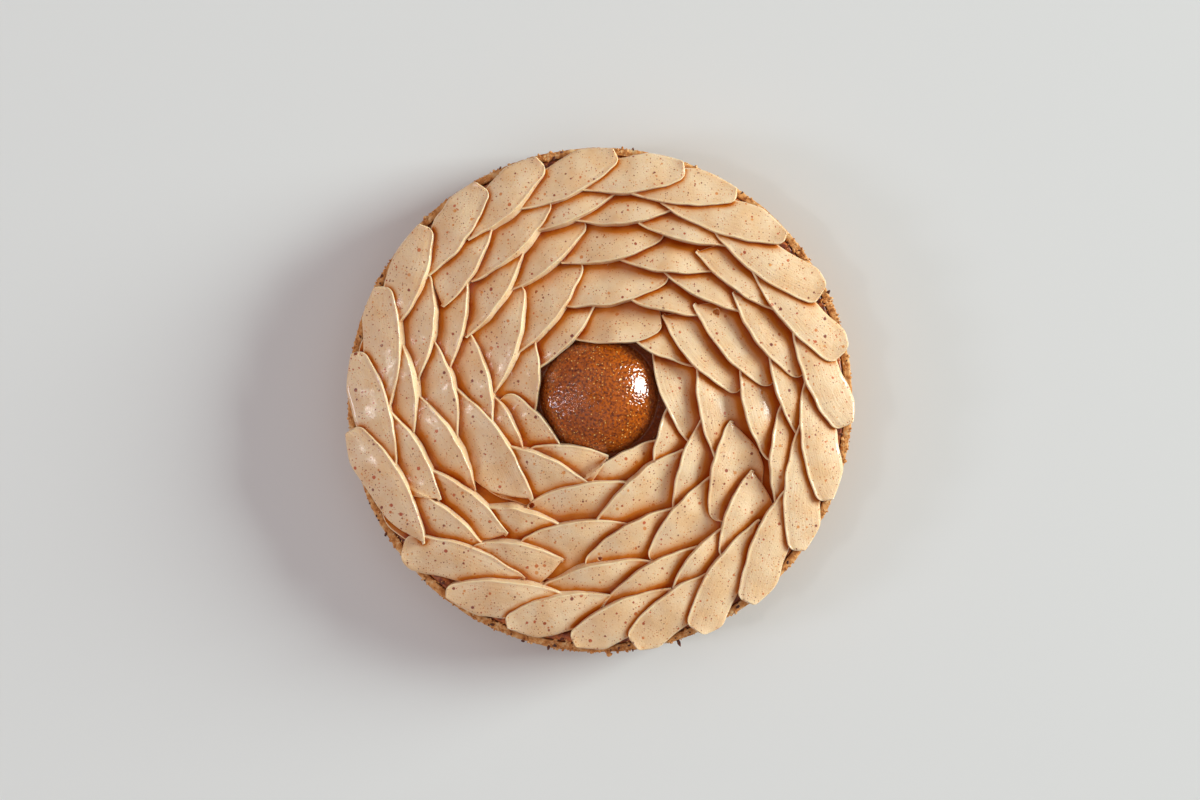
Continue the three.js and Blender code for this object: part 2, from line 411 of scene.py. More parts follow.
# Lights, with angles in degrees, lengths in metres and power in watts
KEY = dict(azimuth=14.5, elevation=17.9, distance=5.0, width=2.1, tall=2.1, power=344.0,
           colour=(0.89, 1.0, 0.985))
FILL = dict(azimuth=188.0, elevation=25.0, distance=5.0, width=0.8, tall=0.9, power=39.0,
            colour=(0.85, 0.87, 1.0))
HIGH = dict(azimuth=186.0, elevation=54.0, distance=5.0, width=0.42, tall=0.42, power=14.0,
            colour=(1.0, 0.97, 0.98))

# The sky: its strength at the horizon and overhead, the dim patch straight above, from which height
# of a unit direction it starts and what is left in it, and how much brighter the left is
SKY_COLOUR = (1.0, 0.905, 0.92)
SKY_STRENGTH = 0.467
SKY_LOW = 0.35
SKY_HIGH = 1.65
SKY_POWER = 2.0
SKY_GAP = 0.93
SKY_GAP_EDGE = 0.05
SKY_GAP_LEFT = 0.08
SKY_SIDE = 0.46

# The random numbers: three values of a common generator
STREAM_FACTOR = 1664525
STREAM_STEP = 1013904223
STREAM_RANGE = 4294967296


def random_stream(seed):
    """A repeatable stream of numbers from 0 to 1."""
    state = seed
    while True:
        state = (state * STREAM_FACTOR + STREAM_STEP) % STREAM_RANGE
        yield state / STREAM_RANGE


def between(numbers, least, most):
    return least + (most - least) * next(numbers)


def mostly_small(numbers, least, most):
    """A number between least and most, nearer to least more often."""
    return least + (most - least) * next(numbers) ** 2


def stray(numbers, reach):
    return reach * (2 * next(numbers) - 1)


def smooth(x):
    x = np.clip(x, 0, 1)
    return x * x * (3 - 2 * x)


def fade_in(x, start, over):
    """0 up to start, and 1 from as far beyond it as over says."""
    return smooth((x - start) / over)


def quarter(x):
    """A quarter round: 0 at 0, steep at first, and 1 from 1 on."""
    return np.sqrt(1 - (1 - np.clip(x, 0, 1)) ** 2)


def soft_max(a, b, blend):
    return 0.5 * (a + b + np.sqrt((a - b) ** 2 + blend**2))


def polar(degrees, radius):
    angle = math.radians(degrees)
    return np.array([radius * math.cos(angle), radius * math.sin(angle)])


def noise_at(points, scale, seed):
    """Smooth noise from -1 to 1 at each point, with lumps about scale across."""
    shift = Vector([seed * step for step in NOISE_SHIFT])
    return np.array([noise.noise(Vector(p) / scale + shift) for p in points])


def grains_at(points, size, seed):
    """Rounded grains about size across: 1 on a grain's middle and near 0 between grains."""
    shift = Vector([seed * step for step in NOISE_SHIFT])
    near = [noise.voronoi(Vector(p) / size + shift)[0][0] for p in points]
    return 1 - np.clip(np.array(near) / GRAIN_REACH, 0, 1) ** 2


def relief_at(points, grains, swells):
    """How far a rough surface stands out at each point."""
    rough = sum(height * grains_at(points, size, seed) for height, size, seed in grains)
    return rough + sum(height * noise_at(points, size, seed) for height, size, seed in swells)


# Meshes

def new_object(name, points, faces):
    mesh = bpy.data.meshes.new(name)
    mesh.from_pydata((np.asarray(points, float) * MM).tolist(), [], faces)
    mesh.update()
    obj = bpy.data.objects.new(name, mesh)
    bpy.context.scene.collection.objects.link(obj)
    return obj


def grid_faces(rows, columns):
    """Faces between rows of points, each of which runs round and closes on itself."""
    faces = []
    for r in range(rows - 1):
        for c in range(columns):
            d = (c + 1) % columns
            a, b = r * columns + c, r * columns + d
            faces.append((a, b, b + columns, a + columns))
    return faces


def revolve(name, profile, columns):
    """A closed solid of revolution. The profile runs from the axis below to the axis above."""
    profile = np.array(profile, float)
    angle = np.arange(columns) * (2 * math.pi / columns)
    ring = profile[1:-1]
    points = np.stack(
        [
            np.outer(ring[:, 0], np.cos(angle)),
            np.outer(ring[:, 0], np.sin(angle)),
            np.outer(ring[:, 1], np.ones(columns)),
        ],
        axis=-1,
    ).reshape(-1, 3)
    faces = grid_faces(len(ring), columns)
    low, high = len(points), len(points) + 1
    last = (len(ring) - 1) * columns
    for c in range(columns):
        d = (c + 1) % columns
        faces.append((low, d, c))
        faces.append((high, last + c, last + d))
    points = np.vstack([points, [0, 0, profile[0, 1]], [0, 0, profile[-1, 1]]])
    return new_object(name, points, faces)


def points_of(obj):
    count = len(obj.data.vertices)
    flat = np.empty(count * 3, np.float32)
    obj.data.vertices.foreach_get("co", flat)
    return flat.reshape(-1, 3).astype(float) / MM


def set_points(obj, points):
    obj.data.vertices.foreach_set("co", (points * MM).astype(np.float32).ravel())
    obj.data.update()


def shade(obj, sharp_degrees=None):
    obj.data.shade_smooth()
    if sharp_degrees:
        obj.data.set_sharp_from_angle(angle=math.radians(sharp_degrees))


def combine(base, others, operation):
    """Joins closed meshes to base, or cuts them from it, and removes them."""
    group = bpy.data.collections.new("operands")
    bpy.context.scene.collection.children.link(group)
    for other in others:
        bpy.context.scene.collection.objects.unlink(other)
        group.objects.link(other)
    modifier = base.modifiers.new("combine", "BOOLEAN")
    modifier.operation = operation
    modifier.operand_type = "COLLECTION"
    modifier.collection = group
    modifier.solver = "MANIFOLD"
    shown = base.evaluated_get(bpy.context.evaluated_depsgraph_get())
    made = bpy.data.meshes.new_from_object(shown)
    base.modifiers.clear()
    base.data = made
    for other in others:
        bpy.data.objects.remove(other)
    bpy.data.collections.remove(group)


# The cream's colour takes painted shade from this openness: warm, then dark, in folds and under lips
def mark_openness(obj):
    """Keeps at each corner of a face how open it lies, from 0 in a deep fold to 1 on a crest."""
    directions = []
    for k in range(OPEN_RAYS):
        up = math.sqrt(1 - (k + 0.5) / OPEN_RAYS)
        turn = k * GOLDEN_TURN
        flat = math.sqrt(1 - up * up)
        directions.append((flat * math.cos(turn), flat * math.sin(turn), up))
    tree = BVHTree.FromObject(obj, bpy.context.evaluated_depsgraph_get())
    reach = OPEN_REACH * MM
    hidden, steep = [], []
    for face in obj.data.polygons:
        up = face.normal
        side = up.orthogonal().normalized()
        other = up.cross(side)
        start = face.center + up * (RAY_LIFT * MM)
        total = 0.0
        for x, y, z in directions:
            distance = tree.ray_cast(start, side * x + other * y + up * z, reach)[3]
            if distance is not None:
                total += 1 - distance / reach
        steep.append(up.z < STEEP)
        hidden.append(total / OPEN_RAYS * (WALL_SHADE if up.z < STEEP else 1))

    # A corner takes the mean of the faces round it that are as steep as its own, larger ones more
    faces = obj.data.polygons
    corners = np.array([face.loop_total for face in faces])
    owner = np.repeat(np.arange(len(faces)), corners)
    kind = np.array([loop.vertex_index for loop in obj.data.loops]) * 2 + np.array(steep)[owner]
    weight = np.array([face.area for face in faces])[owner]
    share = np.maximum(np.bincount(kind, weight), LEAST_AREA)
    hidden = np.array(hidden)
    for again in range(OPEN_SMOOTHING):
        at_corner = (np.bincount(kind, weight * hidden[owner]) / share)[kind]
        hidden = np.bincount(owner, at_corner) / corners
    openness = obj.data.attributes.new("openness", "FLOAT", "CORNER")
    openness.data.foreach_set("value", 1 - at_corner)


def lump(seed, size, stretch, place, turn=(0, 0, 0), rough=BALL_ROUGH, fine=BALL_FINE):
    """One uneven ball: its points and faces."""
    ball = bmesh.new()
    bmesh.ops.create_icosphere(ball, subdivisions=fine, radius=1)
    unit = np.array([vertex.co for vertex in ball.verts])
    faces = [[vertex.index for vertex in face.verts] for face in ball.faces]
    ball.free()
    points = unit * (1 + rough * noise_at(unit, BALL_NOISE, seed))[:, None] * np.array(stretch) * size
    return points @ np.array(Euler(turn).to_matrix()).T + np.array(place), faces


def lump_object(name, lumps):
    """One mesh of many lumps."""
    points, faces = [], []
    for these, round_them in lumps:
        start = sum(len(p) for p in points)
        faces += [[start + index for index in face] for face in round_them]
        points.append(these)
    return new_object(name, np.vstack(points), faces)


# What is already piped, as heights on a grid

def bare_heights():
    """The height of the bed and the rim before any petal is piped, on the grid."""
    line = np.arange(-GRID_HALF, GRID_HALF + GRID_STEP / 2, GRID_STEP)
    radius = np.hypot(line[:, None], line[None, :])
    slope = (radius - CREAM_BED_SHOULDER) / (CREAM_BED_RADIUS - CREAM_BED_SHOULDER)
    return CREAM_BED_TOP - (CREAM_BED_TOP - PETAL_UNDERSIDE) * np.clip(slope, 0, 1)


def softened(heights):
    """The heights with small steps spread out, so that what lies on them bends gently."""
    spread = heights
    for axis in (0, 1, 0, 1):
        rolled = [np.roll(spread, k, axis) for k in range(-SOFT_CELLS, SOFT_CELLS + 1)]
        spread = sum(rolled) / len(rolled)
    return np.maximum(spread, heights - SOFT_DROP)


def heights_at(heights, flat):
    place = (flat + GRID_HALF) / GRID_STEP
    i = np.floor(place).astype(int)
    f, g = np.moveaxis(place - i, -1, 0)
    x, y = np.moveaxis(i, -1, 0)
    near = heights[x, y] * (1 - g) + heights[x, y + 1] * g
    far = heights[x + 1, y] * (1 - g) + heights[x + 1, y + 1] * g
    return near * (1 - f) + far * f


def lay(heights, points):
    """Raises the heights to a petal's top, a grid of points, filled in between them."""
    for f in LAID_SHARES:
        rows = points[:-1] * (1 - f) + points[1:] * f
        for g in LAID_SHARES:
            fine = (rows[:, :-1] * (1 - g) + rows[:, 1:] * g).reshape(-1, 3)
            cell = np.rint((fine[:, :2] + GRID_HALF) / GRID_STEP).astype(int)
            np.maximum.at(heights, (cell[:, 0], cell[:, 1]), fine[:, 2])


# Petals

def ring_petals(ring):
    """Where each petal of a ring lies: the two ends of its lip, its level and its width."""
    numbers = random_stream(ring["seed"])
    petals = []
    for i in range(ring["count"]):
        closing = i == ring["count"] - 1
        share = i / max(1, ring["count"] - 1)
        even_radius = ring["closing"] if closing else ring["lip"] + ring["drift"] * i
        even_deg = ring["seam"] + ring["step"] * i + ring["bow"] * 4 * share * (1 - share)
        shift = stray(numbers, STRAY_ALONG) / (even_radius + ring["rise"] / 2)
        start_deg = even_deg + math.degrees(shift)
        lip_radius = even_radius + stray(numbers, STRAY_ACROSS)
        span = ring["span"] * (1 + stray(numbers, STRAY_LENGTH))
        level = LIP_LEVEL - ring["sink"] + stray(numbers, STRAY_LEVEL)
        start_radius = min(lip_radius + ring["rise"], NOSE_LIMIT) + stray(numbers, NOSE_STRAY)
        petals.append(
            dict(
                start=polar(start_deg, start_radius),
                end=polar(start_deg + span, lip_radius + END_RISE),
                level=level,
                width=ring["width"],
                fall=ring["fall"],
                lean=ring["lean"],
                nose=ring["nose"],
                start_drop=ring["start_drop"],
                end_drop=ring["closing_drop"] if closing else END_DROP,
            )
        )
    return petals


def leaf_reach(t, full, nose_share):
    """How far a petal reaches from its lip line at t along it: a blunt start and a tapered end."""
    start = np.clip(t / nose_share, 0, 1)
    nose = (1 - (1 - start) ** NOSE_SQUARE) ** (1 / NOSE_SQUARE)
    tail = np.clip((t - TAPER_START) / (1 - TAPER_START), 0, 1)
    taper = np.cos((math.pi / 2) * tail**TAPER_POWER)
    broad = NOSE_CORNER + (full - NOSE_CORNER) * nose
    return np.where(t < nose_share, broad, full * np.maximum(TIP_BLUNT, taper))


def edge_reach(lip, outward):
    """How far out from each point of a lip the cream's edge on the rim lies."""
    angle = np.arctan2(lip[:, 1], lip[:, 0])
    edge = np.full(len(lip), EDGE_RADIUS)
    for count, amount, widest in EDGE_WAVES:
        edge += amount * np.cos(count * (angle - math.radians(widest)))
    lean = lip @ outward
    return np.sqrt(np.maximum(lean**2 - (lip**2).sum(axis=1) + edge**2, 0)) - lean


def eased(top):
    """A petal's top, a row a station, with its bumps along the petal and across it spread out."""
    for axis, passes in ((0, ALONG_PASSES), (1, ACROSS_PASSES)):
        rows = np.moveaxis(top.copy(), axis, 0)
        for again in range(passes):
            rows[1:-1] = 0.25 * rows[:-2] + 0.5 * rows[1:-1] + 0.25 * rows[2:]
        top = np.moveaxis(rows, 0, axis)
    return top


def mark_piping(obj, values):
    """Keeps at each corner how far along its petal and in from the lip it lies, and how pale it is."""
    corners = values[[loop.vertex_index for loop in obj.data.loops]]
    piped = obj.data.attributes.new("piped", "FLOAT_VECTOR", "CORNER")
    piped.data.foreach_set("vector", corners.ravel())


def petal_object(petal, seed, heights):
    """One petal as a closed mesh, laid over what is already piped: a row of points a station."""
    numbers = random_stream(seed * PETAL_SEED_STEP + PETAL_SEED_START)
    t = np.linspace(0, 1, STATIONS) ** STATION_CROWD
    along = petal["end"] - petal["start"]
    length = np.linalg.norm(along)
    along = along / length
    outward = np.array([along[1], -along[0]])
    s = t * length
    line = [(x, 0.0, 0.0) for x in s]

    # The lip line, and how far the petal reaches outwards from it
    corner = NOSE_CORNER * (1 - quarter(s / NOSE_CORNER))
    wander = LIP_WANDER * noise_at(line, WANDER_RUN, seed)
    inward = BULGE_SHARE * length * 4 * t * (1 - t) + wander - corner
    lip = petal["start"] + np.outer(s, along) - np.outer(inward, outward)
    rim = corner + edge_reach(lip, outward) + stray(numbers, EDGE_STRAY)
    reach = -soft_max(-leaf_reach(t, petal["width"], petal["nose"]), -rim, REACH_BLEND)
    width = np.maximum(reach - corner, LEAST_WIDTH)

    # The wall under the lip leans more on the left of the tart
    middle = 0.5 * (petal["start"] + petal["end"])
    leftward = 0.5 - 0.5 * middle[0] / np.linalg.norm(middle)
    lean = petal["lean"] * mostly_small(numbers, LEAN_LEAST, LEAN_MOST)
    lean = lean * (LEAN_RIGHT + (1 - LEAN_RIGHT) * leftward) * np.sin(math.pi * t)

    # The height of the lip, how far the face falls from it, and how its edge wavers
    crest = petal["level"] - petal["start_drop"] * smooth(1 - t / START_RUN)
    crest = crest - petal["end_drop"] * fade_in(t, *END_FADE)
    fall = petal["fall"] * (1 + TAIL_TWIST * fade_in(t, *TAIL_FADE))
    waver = LIP_WAVER * noise_at(line, WAVER_RUN, seed + WAVER_SEED)
    if next(numbers) < NICK_CHANCE:
        nick = length * between(numbers, NICK_FIRST, NICK_LAST)
        waver -= between(numbers, NICK_LEAST, NICK_MOST) * np.exp(-(((s - nick) / NICK_WIDTH) ** 2))

    # Points across each station: the lip, the face and the rounded outer edge
    lip_at = np.array([w for w, z in LIP_SECTION])
    lip_up = np.array([z for w, z in LIP_SECTION])
    narrow = np.clip(width / NARROW_FROM, NARROWEST, 1)
    edge = np.minimum(EDGE_ROUND, EDGE_SHARE * width)
    brim = lip_at[-1] * narrow
    face = np.linspace(0, 1, FACE_ROWS + 1)[1:]
    turn = np.sin(np.linspace(0, math.pi / 2, EDGE_ROWS + 1)[1:])
    across = np.concatenate(
        [
            np.outer(narrow, lip_at),
            brim[:, None] + np.outer(width - edge - brim, face),
            width[:, None] - np.outer(edge, 1 - turn),
        ],
        axis=1,
    )

    # The top lies on its own fall, or on what is piped below it where that is higher
    flat = lip[:, None, :] + across[:, :, None] * outward
    under = heights_at(softened(heights), flat)
    x = across / FACE_RUN
    own = crest[:, None] - fall[:, None] * (FACE_FLAT * x + (1 - FACE_FLAT) * x * x)
    top = eased(soft_max(own, under + PETAL_THICKNESS, FACE_BLEND))
    top = soft_max(top, heights_at(heights, flat) + LEAST_COVER, COVER_BLEND)
    nose_round = quarter((s + NOSE_STUB) / NOSE_ROUND)[:, None]
    edge_round = quarter((width[:, None] - across + EDGE_STUB) / EDGE_ROUND)
    top = under + (top - under) * (nose_round * edge_round)
    count = len(lip_at)
    top[:, :count] += np.outer(narrow, lip_up) + np.outer(waver, np.linspace(1, 0, count))
    points = np.concatenate([flat, top[:, :, None]], axis=2)
    spots = points.reshape(-1, 3)
    bumps = noise_at(spots, BUMP_SIZE, seed + BUMP_SEED)
    bumps = bumps + FINE_BUMP_SHARE * noise_at(spots, FINE_BUMP_SIZE, seed + FINE_BUMP_SEED)
    points[:, :, 2] += BUMP_HEIGHT * bumps.reshape(top.shape)
    points[:, :, 2] = np.maximum(points[:, :, 2], PETAL_UNDERSIDE + LEAST_DEPTH)
    lay(heights, points)

    # The solid: a foot and a wall under the lip, the top, and a foot under the outer edge
    ground = np.full((STATIONS, 1), PETAL_UNDERSIDE)
    foot = np.concatenate([lip - lean[:, None] * outward, ground], axis=1)
    wall = 0.5 * (foot + points[:, 0])
    outer_foot = points[:, -1] * np.array([1, 1, 0]) + np.array([0, 0, PETAL_UNDERSIDE])
    rows = np.concatenate([foot[:, None], wall[:, None], points, outer_foot[:, None]], axis=1)
    columns = rows.shape[1]
    faces = grid_faces(STATIONS, columns)
    faces.append(tuple(reversed(range(columns))))
    faces.append(tuple((STATIONS - 1) * columns + c for c in range(columns)))
    made = new_object("petal", rows.reshape(-1, 3), faces)
    piped = np.zeros((STATIONS, columns, 3))
    piped[:, :, 0] = s[:, None] + PETAL_SPACING * seed
    piped[:, 2:-1, 1] = across
    piped[:, -1, 1] = width
    piped[:, :, 2] = 1 - fade_in(piped[:, :, 1], LIP_PALE / 2, LIP_PALE)
    piped[:, 0, 2] = FOOT_PALE
    piped[:, 1, 2] = WALL_PALE
    mark_piping(made, piped.reshape(-1, 3))
    return made


# The cream

def dome_profile(steps):
    """The dome from its foot to its top."""
    rise = DOME_TOP - POOL_LEVEL
    sphere = (DOME_RADIUS**2 + rise**2) / (2 * rise)
    foot = math.asin(DOME_RADIUS / sphere)
    angles = [foot * (1 - k / steps) for k in range(steps + 1)]
    return [(sphere * math.sin(a), DOME_TOP - sphere + sphere * math.cos(a)) for a in angles]


def seat_object():
    """The room the praline takes in the cream."""
    radius = POOL_RADIUS + SEAT_GAP
    profile = [(0, CREAM_BASE - SEAT_BELOW), (radius, CREAM_BASE - SEAT_BELOW)]
    profile.append((radius, POOL_LEVEL + SEAT_GAP))
    profile += [(r, z + SEAT_GAP) for r, z in dome_profile(SEAT_ROWS)]
    seat = revolve("seat", profile, SEAT_COLUMNS)
    set_points(seat, points_of(seat) + np.array([DOME_X, DOME_Y, 0]))
    return seat


def pit_objects(heights):
    """Small balls that are cut from the cream as burst bubbles."""
    numbers = random_stream(PIT_SEED)
    pits = list(PITS)
    for k in range(SMALL_PITS):
        angle = 360 * next(numbers)
        radius = between(numbers, PIT_INNER, PIT_OUTER)
        size = mostly_small(numbers, PIT_LEAST, PIT_MOST)
        pits.append((angle, radius, size, PIT_UP * size))
    balls = []
    for k, (angle, radius, size, up) in enumerate(pits):
        x, y = polar(angle, radius)
        level = heights_at(heights, np.array([[x, y]]))[0]
        ball = lump(k, size, (1, 1, 1), (x, y, level + up), rough=PIT_ROUGH, fine=PIT_FINE)
        balls.append(lump_object("pit", [ball]))
    return balls


def cream_object():
    """The bed and all the petals as one mesh, and the heights of what is piped."""
    bed = [(0, CREAM_BASE), (CREAM_BED_RADIUS - BED_FOOT, CREAM_BASE)]
    bed += [(CREAM_BED_RADIUS, CREAM_BASE + BED_EDGE)]
    bed += [(CREAM_BED_SHOULDER, CREAM_BED_TOP), (0, CREAM_BED_TOP)]
    cream = revolve("cream_petals", bed, BED_COLUMNS)
    mark_piping(cream, np.zeros((len(cream.data.vertices), 3)))
    petals = []
    for ring in RINGS.values():
        *others, seam = ring_petals(ring)
        petals += [seam, *others] if ring["seam_first"] else [*others, seam]
    heights = bare_heights()
    combine(cream, [petal_object(petal, k + 1, heights) for k, petal in enumerate(petals)], "UNION")
    combine(cream, [seat_object(), *pit_objects(heights)], "DIFFERENCE")
    shade(cream, CREAM_SHARP)
    mark_openness(cream)
    return cream, heights


# Praline, shell and filling

def praline_object():
    foot = [(0, POOL_BASE), (POOL_RADIUS, POOL_BASE), (POOL_RADIUS, POOL_LEVEL - POOL_EDGE)]
    pool = [(POOL_RADIUS - POOL_STEP * k, POOL_LEVEL - POOL_DIP) for k in range(1, POOL_RINGS + 1)]
    praline = revolve("praline_dome", foot + pool + dome_profile(DOME_ROWS), DOME_COLUMNS)
    points = points_of(praline)
    top = np.clip((points[:, 2] - POOL_BASE) / PRALINE_FADE, 0, 1)
    relief = relief_at(points, **PRALINE_RELIEF)
    oily = ((points[:, 0] - OILY_X) / OILY_WIDE) ** 2 + ((points[:, 1] - OILY_Y) / OILY_TALL) ** 2
    relief *= 1 - OILY_SMOOTH * np.exp(-oily)
    outward = points - np.array([0, 0, DOME_TOP - DOME_FOCUS])
    outward /= np.linalg.norm(outward, axis=1)[:, None]
    points += outward * (relief * top - PRALINE_SINK)[:, None]
    set_points(praline, points + np.array([DOME_X, DOME_Y, 0]))
    shade(praline)
    return praline


def crust_profile():
    """The shell in section, from the middle of its base round the wall and rim to its floor."""
    profile = [(0, 0), (FLAT_RADIUS, 0), (BASE_RADIUS, 0)]
    profile += [(FOOT_RADIUS + FOOT_STEP * k, FOOT_CURVE * k * k) for k in range(FOOT_POINTS)]
    for z in np.linspace(WALL_MARGIN, SHELL_HEIGHT - WALL_MARGIN, WALL_ROWS):
        belly = WALL_BELLY * math.sin(math.pi * z / SHELL_HEIGHT)
        profile.append((SHELL_RADIUS - WALL_INSET + belly, z))
    outer = SHELL_RADIUS - RIM_INSET
    middle = 0.5 * (SHELL_INNER + outer)
    half = 0.5 * (outer - SHELL_INNER)
    for a in np.linspace(0, math.pi, RIM_ROWS):
        up = RIM_CROWN * math.sin(a) ** RIM_SQUARE
        profile.append((middle + half * math.cos(a), SHELL_HEIGHT - RIM_CROWN + up))
    profile += [(SHELL_INNER, SHELL_HEIGHT - RIM_DEPTH), (SHELL_INNER, SHELL_FLOOR)]
    profile += [(FLAT_RADIUS, SHELL_FLOOR), (0, SHELL_FLOOR)]
    return profile


def crust_object():
    crust = revolve("crust_shell", crust_profile(), SHELL_COLUMNS)
    points = points_of(crust)
    radius = np.hypot(points[:, 0], points[:, 1])
    rough = fade_in(radius - SHELL_INNER, *INNER_FADE) * fade_in(points[:, 2], *BASE_FADE)
    relief = relief_at(points, **CRUST_RELIEF) - CRUST_SINK
    out = points * np.array([1, 1, 0]) / np.maximum(radius, 1)[:, None]
    upper = fade_in(points[:, 2] - SHELL_HEIGHT, *RIM_FADE)
    direction = out * (1 - RIM_UPWARD * upper)[:, None] + np.outer(upper, [0, 0, 1])
    points += direction * (relief * rough)[:, None]
    points[:, 2] = np.minimum(points[:, 2], PETAL_UNDERSIDE - RIM_CLEAR)
    set_points(crust, points)
    shade(crust)
    return crust


def filling_object():
    base = SHELL_FLOOR + FILLING_GAP
    profile = [(0, base), (FILLING_RADIUS, base), (FILLING_RADIUS, FILLING_LEVEL - FILLING_EDGE)]
    for k in range(1, FILLING_RINGS + 1):
        profile.append((FILLING_RADIUS - FILLING_STEP * k, FILLING_LEVEL))
    profile += [(FLAT_RADIUS, FILLING_LEVEL), (0, FILLING_LEVEL)]
    filling = revolve("filling_disc", profile, FILLING_COLUMNS)
    points = points_of(filling)
    top = fade_in(points[:, 2] - FILLING_LEVEL, *FILLING_FADE)
    relief = relief_at(points, **FILLING_RELIEF) - FILLING_SINK
    radius = np.hypot(points[:, 0], points[:, 1])
    swell = FILLING_SWELL * fade_in(radius, CREAM_BED_RADIUS, SWELL_OVER)
    points[:, 2] += top * (relief + swell)
    set_points(filling, points)
    shade(filling)
    return filling


# Crumbs and skins

def bare(heights, place, size):
    """Whether a lump of this size lies clear of the cream."""
    around = [place, place + (size, 0), place - (size, 0), place + (0, size), place - (0, size)]
    return heights_at(heights, np.array(around)).max() < PETAL_UNDERSIDE + BARE_MARGIN


def rim_level(radius):
    """How high the top of the rim, or of the filling inside it, lies."""
    if radius < SHELL_INNER:
        return FILLING_LEVEL + SWELL_SHARE * FILLING_SWELL
    return SHELL_HEIGHT - RIM_DIP


def crumbs_object(heights):
    """Crumbs that lie on the rim where the cream leaves it bare, and some that stick to the wall."""
    numbers = random_stream(CRUMB_SEED)

    def any_turn():
        return [FULL_TURN * next(numbers) for axis in range(3)]

    def any_stretch():
        return [between(numbers, CRUMB_THIN, CRUMB_LONG) for axis in range(3)]

    lumps = []
    for k in range(CRUMB_TRIES):
        angle = 360 * next(numbers)
        radius = between(numbers, CRUMB_INNER, CRUMB_OUTER)
        size = mostly_small(numbers, CRUMB_LEAST, CRUMB_MOST)
        stretch, turn = any_stretch(), any_turn()
        place = polar(angle, radius)
        if bare(heights, place, size):
            level = rim_level(radius) + CRUMB_UP * size
            lumps.append(lump(k, size, stretch, (*place, level), turn, CRUMB_ROUGH))
    for k in range(WALL_CRUMBS):
        angle = 360 * next(numbers)
        level = between(numbers, WALL_CRUMB_LOW, WALL_CRUMB_HIGH)
        size = mostly_small(numbers, CRUMB_LEAST, CRUMB_MOST)
        stretch, turn = any_stretch(), any_turn()
        place = polar(angle, SHELL_RADIUS - WALL_INSET + CRUMB_OUT * size)
        lumps.append(lump(k + CRUMB_TRIES, size, stretch, (*place, level), turn, CRUMB_ROUGH))
    hanging = HANGING_CRUMB
    place = (*polar(hanging["angle"], hanging["radius"]), hanging["level"])
    lumps.append(lump(hanging["seed"], hanging["size"], hanging["stretch"], place))
    crumbs = lump_object("rim_crumbs", lumps)
    shade(crumbs, CRUMB_SHARP)
    return crumbs


def skins_object(heights):
    """Thin dark flakes of hazelnut skin that lie among the crumbs."""
    numbers = random_stream(SKIN_SEED)
    lumps = []
    for k in range(SKIN_TRIES):
        angle = 360 * next(numbers)
        radius = between(numbers, CRUMB_INNER, CRUMB_OUTER)
        size = mostly_small(numbers, SKIN_LEAST, SKIN_MOST)
        turn = [stray(numbers, SKIN_TILT), stray(numbers, SKIN_TILT), FULL_TURN * next(numbers)]
        place = polar(angle, radius)
        if bare(heights, place, size):
            lumps.append(lump(k, size, SKIN_STRETCH, (*place, rim_level(radius) + SKIN_UP), turn))
    single = STRAY_SKIN
    place = (*polar(single["angle"], single["radius"]), single["level"])
    turn = (*single["tilt"], math.radians(single["angle"]))
    lumps.append(lump(single["seed"], single["size"], single["stretch"], place, turn))
    skins = lump_object("rim_skins", lumps)
    shade(skins, CRUMB_SHARP)
    return skins


# Nodes

def linear(colour):
    """A colour as it shows, in 0 to 255, as linear light with alpha."""
    share = [c / 255 for c in colour]
    return [c / 12.92 if c <= 0.04045 else ((c + 0.055) / 1.055) ** 2.4 for c in share] + [1.0]


def node(tree, kind, inputs=None, **settings):
    made = tree.nodes.new(kind)
    for key, value in settings.items():
        setattr(made, key, value)
    for key, value in (inputs or {}).items():
        if isinstance(value, bpy.types.NodeSocket):
            tree.links.new(value, made.inputs[key])
        else:
            made.inputs[key].default_value = value
    return made


def calc(tree, operation, a, b):
    return node(tree, "ShaderNodeMath", {0: a, 1: b}, operation=operation).outputs["Value"]


def calc_vector(tree, operation, a, b):
    return node(tree, "ShaderNodeVectorMath", {0: a, 1: b}, operation=operation).outputs["Vector"]


def attribute(tree, name):
    return node(tree, "ShaderNodeAttribute", attribute_name=name)


def axis_of(tree, vector, axis):
    return node(tree, "ShaderNodeSeparateXYZ", {"Vector": vector}).outputs[axis]


def mix(tree, factor, a, b):
    return node(tree, "ShaderNodeMix", {0: factor, 6: a, 7: b}, data_type="RGBA").outputs[2]


def span(tree, value, low, high, to_low=0.0, to_high=1.0):
    inputs = {"Value": value, "From Min": low, "From Max": high, "To Min": to_low, "To Max": to_high}
    return node(tree, "ShaderNodeMapRange", inputs).outputs["Result"]


def ramp(tree, factor, stops):
    """Colours at places from 0 to 1, and their blends between."""
    made = node(tree, "ShaderNodeValToRGB", {"Fac": factor})
    elements = made.color_ramp.elements
    while len(elements) < len(stops):
        elements.new(0.5)
    for element, (position, colour) in zip(elements, stops):
        element.position = position
        element.color = linear(colour)
    return made.outputs["Color"]


def clouds(tree, place, size, detail=3.0, output="Fac"):
    """Noise with lumps about size millimetres across."""
    inputs = {"Vector": place, "Scale": 1 / (size * MM), "Detail": detail}
    return node(tree, "ShaderNodeTexNoise", inputs).outputs[output]


def mottle(tree, place, size, detail, stops):
    return ramp(tree, clouds(tree, place, size, detail), stops)


def patches(tree, place, size, within, levels):
    """Soft patches about size across, from one level to another."""
    return span(tree, clouds(tree, place, size), *within, *levels)


def bumps_of(tree, height, strength, depth):
    inputs = {"Height": height, "Strength": strength, "Distance": depth * MM}
    return node(tree, "ShaderNodeBump", inputs)


